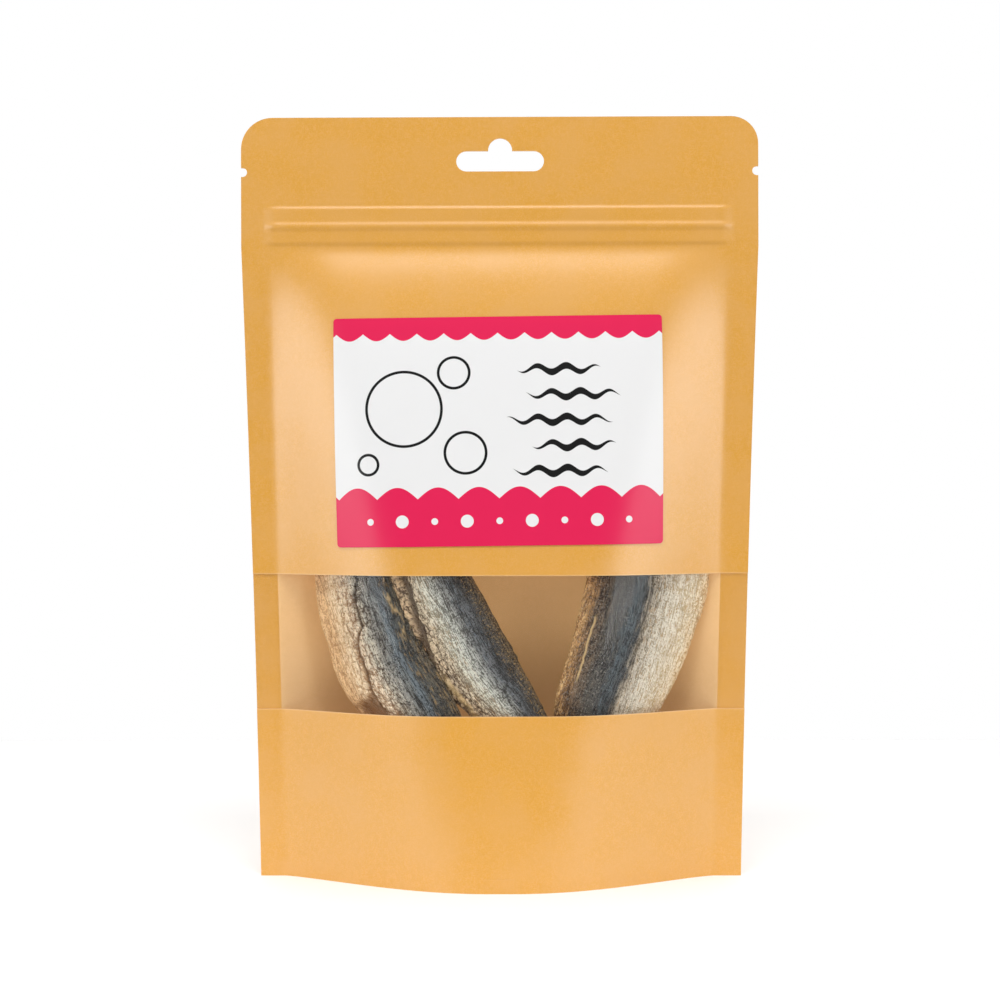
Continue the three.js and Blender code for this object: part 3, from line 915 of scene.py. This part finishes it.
def left_relief(share, across, along, height):
    """Puckered and pale on the left, folded and dark on the right, with a furrow between them and a hollow
    low on the left."""
    furrow_at = np.interp(height, FURROW_HEIGHTS, FURROW_SHARES)
    furrow_at = furrow_at + wander(height, 4, 3, 0.02) + wander(height, 1.7, 7, 0.008)
    furrow = band(share, furrow_at, 0.005, 0.025)
    hollow = band(share, 0.18 + wander(height, 3, 8, 0.04), 0.10, 0.05) * band(height, 64, 6, 3)
    dark = smooth(-0.04, 0.04, share - 0.60 - wander(height, 5, 4, 0.04))
    smooth_side = 1 - smooth(0.16, 0.28, share + wander(height, 6, 9, 0.05))
    lumps, lump_creases = puckers(across, along, 2.3, 1.3, 11)
    small, small_creases = puckers(across, along, 1.15, 1.2, 12)
    broad = folds(across, along, 2.4, 15, 13)
    fine = folds(across, along, 1.0, 10, 16)

    pale_out = (0.75 * lumps + 0.3 * small) * (1 - 0.75 * smooth_side) + 0.5 * broad
    out = pale_out * (1 - dark) + (0.7 * broad + 0.45 * fine) * dark
    out = out + 0.6 * lattice_noise(across / 9, along / 13, 15) - 1.5 * furrow - 2.2 * hollow
    out = out + 1.3 * (1 - smooth(0.0, 0.1, share)) * smooth(60, 90, height)
    out = out + 0.35 * smooth(0.9, 1, share)

    # Painted shade: crease says how dark the skin is painted in its creases, the furrow and the hollow.
    # rise sets a painted highlight on the tops.
    lump_crease = np.maximum(lump_creases, 0.4 * small_creases) * (1 - 0.8 * smooth_side)
    groove = np.maximum(1 - broad / 0.25, 0.8 - fine / 0.25)
    crease = np.clip(lump_crease * (1 - dark) + groove * (0.45 + 0.55 * dark), 0, 1)
    crease = np.maximum(crease, np.maximum(furrow, hollow))
    pale_rise = 0.4 * lumps + 0.3 * small + 0.3 * broad
    rise = pale_rise * (1 - dark) + (0.5 * fine + 0.5 * broad) * dark
    crack = band(share, 0.9 + wander(height, 4, 5, 0.03), 0.006, 0.03) * smooth(80, 88, height)
    gilt = 0.7 * crack * smooth(-0.3, 0.5, lattice_noise(across / 0.7, along / 1.6, 6))
    return out, crease, rise, gilt


def middle_relief(share, across, along, height):
    """A puckered belly on the left with a hollow at its edge, and long folds that darken to the right."""
    belly = 1 - smooth(0.14, 0.26, share + wander(height, 6, 23, 0.05))
    hollow_at = np.interp(height, (80, 96, 110), (0.0, 0.055, 0.13)) + wander(height, 4, 24, 0.02)
    hollow = band(share, hollow_at, 0.025, 0.035) * smooth(78, 90, height)
    dark = smooth(0.54, 0.68, share + wander(height, 7, 28, 0.05))
    lumps, lump_creases = puckers(across, along, 2.0, 1.5, 21)
    small, small_creases = puckers(across, along, 1.1, 1.5, 22)
    broad = folds(across, along, 2.6, 17, 25)
    fine = folds(across, along, 1.1, 9, 26)

    out = belly * (0.6 * lumps + 0.3 * small) + 0.6 * broad + 0.35 * fine
    out = out + 0.5 * lattice_noise(across / 9, along / 15, 27) - 1.5 * hollow
    out = out + 1.3 * (1 - smooth(0.0, 0.1, share))

    # Painted shade: groove and crease say how dark the skin is painted in the folds' grooves, the belly's
    # creases and the hollow. rise sets a painted highlight on the tops.
    groove = np.maximum(1 - broad / 0.25, 0.8 - fine / 0.25) * (0.45 + 0.55 * dark)
    crease = np.maximum(belly * np.maximum(lump_creases, 0.5 * small_creases), groove)
    crease = np.clip(np.maximum(crease, hollow), 0, 1)
    belly_rise = 0.5 * lumps + 0.3 * small + 0.1
    rise = belly * belly_rise + (1 - belly) * 0.4 * fine + 0.4 * broad
    gilt = band(share, 0.05 + wander(height, 4, 29, 0.02), 0.01, 0.03)
    return out, crease, rise, 0.8 * gilt * (1 - smooth(76, 84, height))


def right_relief(share, across, along, height):
    """Beaded on the left, smooth folds in the dark middle, and fine puckers on the pale right, past a
    seam."""
    pale = smooth(-0.02, 0.03, share - 0.54 - wander(height, 6, 33, 0.02))
    beaded = 1 - smooth(0.18, 0.3, share)
    seam = band(share, 0.535, 0.006, 0.02)
    lumps, lump_creases = puckers(across, along, 1.3, 1.5, 31)
    small, small_creases = puckers(across, along, 0.9, 1.2, 32)
    broad = folds(across, along, 3.0, 22, 35)
    fine = folds(across, along, 1.0, 12, 36)

    out = 0.35 * beaded * lumps + pale * (0.3 * small + 0.15 * lumps)
    out = out + 0.5 * broad + 0.3 * fine * (1 - pale)
    out = out + 0.35 * lattice_noise(across / 10, along / 18, 37) - 0.3 * seam
    out = out + 1.5 * smooth(0.92, 1, share) * smooth(60, 90, height)

    # Painted shade: groove and crease say how dark the skin is painted in the grooves, the creases of beads
    # and puckers, and the seam. rise sets a painted highlight on the tops.
    groove = np.maximum(1 - broad / 0.2, (0.7 - fine / 0.25) * (1 - 0.7 * pale))
    crease = np.maximum(beaded * 0.7 * lump_creases, pale * 0.35 * small_creases)
    crease = np.maximum(crease, groove * (1 - 0.3 * pale))
    crease = np.clip(np.maximum(crease, 0.5 * seam), 0, 1)
    pale_rise = 0.3 * small + 0.3 * lumps + 0.4 * broad
    rise = pale * pale_rise + (1 - pale) * (0.5 * fine + 0.5 * broad)
    crack_at = 0.112 + wander(height, 4, 38, 0.012) + wander(height, 1.5, 39, 0.006)
    gilt = band(share, crack_at, 0.003, 0.01) * band(height, 79, 10, 3)
    return out, crease, rise, gilt


def herring_material(name, bands, shade_tint, flecks):
    """Dry skin. Each band across the fish has a colour for the tops of its wrinkles and one for between
    them. Which one shows is picked partly by texture, the skin's own tone, and partly by the wrinkles'
    height, a painted highlight on the tops.
    In creases, furrows and hollows the lows are darkened further by a tint, as painted shade. flecks is a
    list of colour, middle and half width of the band where they are, and amount. The first are round and
    the others long."""
    nodes = Nodes(name)
    skin = nodes.attribute("skin").outputs["Vector"]
    across = nodes.attribute("across").outputs["Fac"]
    crease = nodes.attribute("crease").outputs["Fac"]
    rise = nodes.attribute("rise").outputs["Fac"]
    gilt = nodes.attribute("gilt").outputs["Fac"]
    lengthwise = nodes.add("ShaderNodeMapping", {"Vector": skin, "Scale": (1, 0.12, 1)}).outputs[0]
    streaks = nodes.noise(lengthwise, 0.8, 4.0, 0.65)
    scratches = nodes.noise(lengthwise, 2.2, 4.0, 0.7)
    patches = nodes.noise(skin, 0.2, 3.0, 0.55)
    grain = nodes.noise(skin, 1.7, 4.0, 0.7)

    def lines(vector, scale, width):
        """0 on thin lines that meander, 1 between them."""
        level = nodes.math("SUBTRACT", nodes.noise(vector, scale, 1.0), 0.5)
        return nodes.value_range(nodes.math("ABSOLUTE", level), 0.0, width)

    worms = lines(skin, 0.85, 0.10)
    ridges = lines(lengthwise, 1.5, 0.12)
    bent = nodes.math("MULTIPLY_ADD", nodes.math("SUBTRACT", streaks, 0.5), 0.16, across)
    bent = nodes.math("MULTIPLY_ADD", nodes.math("SUBTRACT", patches, 0.5), 0.10, bent)
    tops = nodes.ramp(bent, [(place, rgb(*top)) for place, top, low in bands])
    lows = nodes.ramp(bent, [(place, rgb(*low)) for place, top, low in bands])
    # Painted highlight: the rise share lifts the wrinkles' tops to the lighter colour. The texture patterns
    # add the skin's own tone.
    lift = nodes.math("MULTIPLY_ADD", rise, 0.8, 0.08)
    for pattern, weight in ((worms, 0.4), (ridges, 0.5), (grain, 1.8), (scratches, 2.2)):
        lift = nodes.math("MULTIPLY_ADD", nodes.math("SUBTRACT", pattern, 0.5), weight, lift)
    color = nodes.mix(nodes.value_range(lift, 0.1, 0.9), lows, tops)
    # Painted shade: the lows, darkened by a tint, laid into the creases, furrows and hollows.
    deep = nodes.mix(1.0, lows, shade_tint, "MULTIPLY")
    color = nodes.mix(nodes.math("MULTIPLY", crease, 0.85), color, deep)
    for index, (fleck, middle, half, amount) in enumerate(flecks):
        spots = nodes.noise(lengthwise if index else skin, 1.3 + 0.4 * index, 3.0, 0.7)
        away = nodes.math("ABSOLUTE", nodes.math("SUBTRACT", bent, middle))
        here = nodes.value_range(away, half, half + 0.06, amount, 0.0)
        spot = nodes.math("MULTIPLY", nodes.value_range(spots, 0.54, 0.64), here)
        color = nodes.mix(spot, color, rgb(*fleck))
    color = nodes.mix(nodes.math("MULTIPLY", gilt, 0.85), color, rgb(*GILT))
    normal = nodes.bump(worms, 0.2 * MM, 0.7)
    normal = nodes.bump(ridges, 0.2 * MM, 0.6, normal)
    normal = nodes.bump(grain, 0.25 * MM, 0.8, normal)
    shader = nodes.principled(
        Base_Color=color,
        Roughness=0.27,
        Specular_IOR_Level=0.38,
        Normal=normal,
    )
    return nodes.finish(shader.outputs[0])


# Place across the fish, colour on the wrinkles and colour between them. Each pair is partly one skin tone
# lit and shaded: a painted highlight on the wrinkles and painted shade between them.
LEFT_BANDS = [
    (0.00, (240, 200, 148), (190, 142, 92)),
    (0.08, (242, 200, 146), (196, 148, 98)),
    (0.24, (252, 228, 190), (206, 166, 120)),
    (0.42, (250, 230, 200), (176, 140, 104)),
    (0.53, (214, 206, 186), (96, 80, 62)),
    (0.61, (158, 155, 146), (62, 56, 49)),
    (0.71, (126, 129, 126), (42, 42, 40)),
    (0.78, (108, 119, 125), (40, 49, 55)),
    (0.85, (80, 84, 83), (27, 29, 28)),
    (0.93, (82, 79, 68), (26, 25, 22)),
    (1.00, (104, 90, 68), (34, 28, 20)),
]
MIDDLE_BANDS = [
    (0.00, (222, 188, 144), (104, 76, 50)),
    (0.10, (232, 208, 172), (98, 74, 52)),
    (0.20, (226, 210, 180), (112, 92, 70)),
    (0.32, (238, 236, 218), (154, 146, 124)),
    (0.46, (216, 217, 206), (110, 109, 99)),
    (0.56, (166, 167, 161), (68, 67, 62)),
    (0.67, (114, 117, 119), (40, 41, 41)),
    (0.79, (80, 81, 82), (22, 22, 21)),
    (0.91, (78, 71, 60), (21, 18, 14)),
    (1.00, (110, 92, 66), (36, 28, 21)),
]
RIGHT_BANDS = [
    (0.00, (240, 200, 140), (160, 112, 62)),
    (0.04, (194, 148, 92), (108, 76, 44)),
    (0.10, (132, 106, 79), (54, 40, 28)),
    (0.24, (84, 80, 73), (30, 27, 24)),
    (0.35, (72, 73, 72), (26, 26, 26)),
    (0.42, (86, 96, 100), (35, 41, 45)),
    (0.49, (72, 72, 71), (25, 25, 25)),
    (0.545, (196, 184, 164), (100, 90, 74)),
    (0.64, (232, 224, 206), (160, 146, 122)),
    (0.78, (248, 240, 222), (204, 184, 148)),
    (0.93, (250, 236, 208), (212, 184, 140)),
    (1.00, (244, 216, 172), (196, 154, 102)),
]
GOLD = (190, 152, 92)
GILT = (216, 184, 128)
PALE = (214, 206, 188)
BLUE = (100, 112, 120)
TAN = (196, 156, 104)


def make_fish():
    # Painted shade tints: how far each fish's lows darken in its creases.
    brown_shade = (0.55, 0.46, 0.38, 1)
    dark = (0.50, 0.46, 0.42, 1)
    faint = (0.62, 0.58, 0.53, 1)
    left_flecks = [(PALE, 0.5, 0.14, 0.4), (GOLD, 0.93, 0.07, 0.45)]
    middle_flecks = [(GOLD, 0.93, 0.06, 0.6), (BLUE, 0.7, 0.08, 0.5), (TAN, 0.3, 0.1, 0.4)]
    right_flecks = [(PALE, 0.18, 0.16, 0.25), (BLUE, 0.42, 0.06, 0.5), (TAN, 0.75, 0.16, 0.6)]
    for name, relief, bands, shade_tint, flecks in (
        ("herring_left", left_relief, LEFT_BANDS, brown_shade, left_flecks),
        ("herring_middle", middle_relief, MIDDLE_BANDS, dark, middle_flecks),
        ("herring_right", right_relief, RIGHT_BANDS, faint, right_flecks),
    ):
        material = herring_material(name + "_skin", bands, shade_tint, flecks)
        make_herring(name, material, relief)


# Stage ------------------------------------------------------------------------

# The floor ends near the pouch. In front, more of it would light the foot from below. Behind, it would
# show as a grey band against the cove
FLOOR_SIDE = 1.2
FLOOR_FRONT = -0.2
FLOOR_BACK = 0.35
ROOM_DARK = 0.25


def make_floor():
    nodes = Nodes("floor_white")
    grain = nodes.noise(nodes.place(), 30, 2.0)
    shader = nodes.principled(
        Base_Color=nodes.mix(grain, (0.88, 0.88, 0.88, 1), (0.9, 0.9, 0.9, 1)),
        Roughness=0.9,
        Emission_Color=(1, 1, 1, 1),
        Emission_Strength=0.1,
    )
    material = nodes.finish(shader.outputs[0])
    mesh = bpy.data.meshes.new("floor")
    front = [(-FLOOR_SIDE, FLOOR_FRONT, 0), (FLOOR_SIDE, FLOOR_FRONT, 0)]
    back = [(FLOOR_SIDE, FLOOR_BACK, 0), (-FLOOR_SIDE, FLOOR_BACK, 0)]
    mesh.from_pydata(front + back, [], [(0, 1, 2, 3)])
    mesh.materials.append(material)
    floor = bpy.data.objects.new("floor", mesh)
    bpy.context.scene.collection.objects.link(floor)


def softbox(name, azimuth, elevation, distance, size, brightness):
    """A rectangular lamp that looks at the middle of the pouch. brightness is how bright its face is,
    where the cove's is 1."""
    lamp = bpy.data.lights.new(name, "AREA")
    lamp.shape = "RECTANGLE"
    lamp.size, lamp.size_y = size
    lamp.energy = brightness * math.pi * size[0] * size[1]
    thing = bpy.data.objects.new(name, lamp)
    turn, lift = math.radians(azimuth), math.radians(elevation)
    thing.location = (
        distance * math.sin(turn) * math.cos(lift),
        -distance * math.cos(turn) * math.cos(lift),
        HEIGHT / 2 + distance * math.sin(lift),
    )
    thing.rotation_euler = (math.pi / 2 - lift, 0, turn)
    bpy.context.scene.collection.objects.link(thing)


def make_light():
    """A white cove behind the pouch and a dimmer room in front of it, with three softboxes. Those at the
    sides make the pale gloss on the flanks beside the seals."""
    world = bpy.data.worlds.new("white_cove")
    world.use_nodes = True
    tree = world.node_tree
    background = tree.nodes["Background"]
    background.inputs["Color"].default_value = (1, 1, 1, 1)
    direction = tree.nodes.new("ShaderNodeTexCoord").outputs["Generated"]
    parts = tree.nodes.new("ShaderNodeSeparateXYZ")
    fall = tree.nodes.new("ShaderNodeMapRange")
    fall.interpolation_type = "SMOOTHSTEP"
    limits = {"From Min": -0.5, "From Max": 0.1, "To Min": ROOM_DARK, "To Max": 1.0}
    for key, value in limits.items():
        fall.inputs[key].default_value = value
    tree.links.new(direction, parts.inputs[0])
    tree.links.new(parts.outputs[1], fall.inputs["Value"])
    tree.links.new(fall.outputs[0], background.inputs["Strength"])
    bpy.context.scene.world = world
    for name, azimuth in (("softbox_left", -48), ("softbox_right", 48)):
        softbox(name, azimuth, elevation=10, distance=1.5, size=(0.8, 0.65), brightness=4.1)
    softbox("softbox_top", 0, elevation=62, distance=0.85, size=(0.53, 0.29), brightness=8.8)


def make_camera():
    """Level, and turned a little round the pouch and about its own line of sight."""
    camera = bpy.data.cameras.new("camera")
    camera.sensor_width = SENSOR
    camera.lens = LENS
    thing = bpy.data.objects.new("camera", camera)
    thing.location = (
        CAMERA_DISTANCE * math.sin(CAMERA_ORBIT),
        -CAMERA_DISTANCE * math.cos(CAMERA_ORBIT),
        CAMERA_HEIGHT,
    )
    orbit = Matrix.Rotation(CAMERA_ORBIT, 3, "Z")
    level = Matrix.Rotation(math.pi / 2, 3, "X")
    roll = Matrix.Rotation(-CAMERA_ROLL, 3, "Z")
    thing.rotation_euler = (orbit @ level @ roll).to_euler("XYZ")
    bpy.context.scene.collection.objects.link(thing)
    bpy.context.scene.camera = thing


def main():
    bpy.context.scene.view_settings.view_transform = "Standard"
    make_camera()
    window = WINDOW_LOW, WINDOW_HIGH
    kraft = kraft_material("kraft_paper", KRAFT, KRAFT_PALE, coat=1.0)
    front = kraft_material("kraft_front", KRAFT, KRAFT_PALE, coat=1.0, cut_at=window)
    inside = kraft_material("kraft_inside", INSIDE, INSIDE_PALE, coat=0.2, glow=0.27)
    make_paper(front, kraft, inside)
    make_gusset(kraft)
    make_film(film_material())
    make_label(label_material())
    make_fish()
    make_floor()
    make_light()


main()
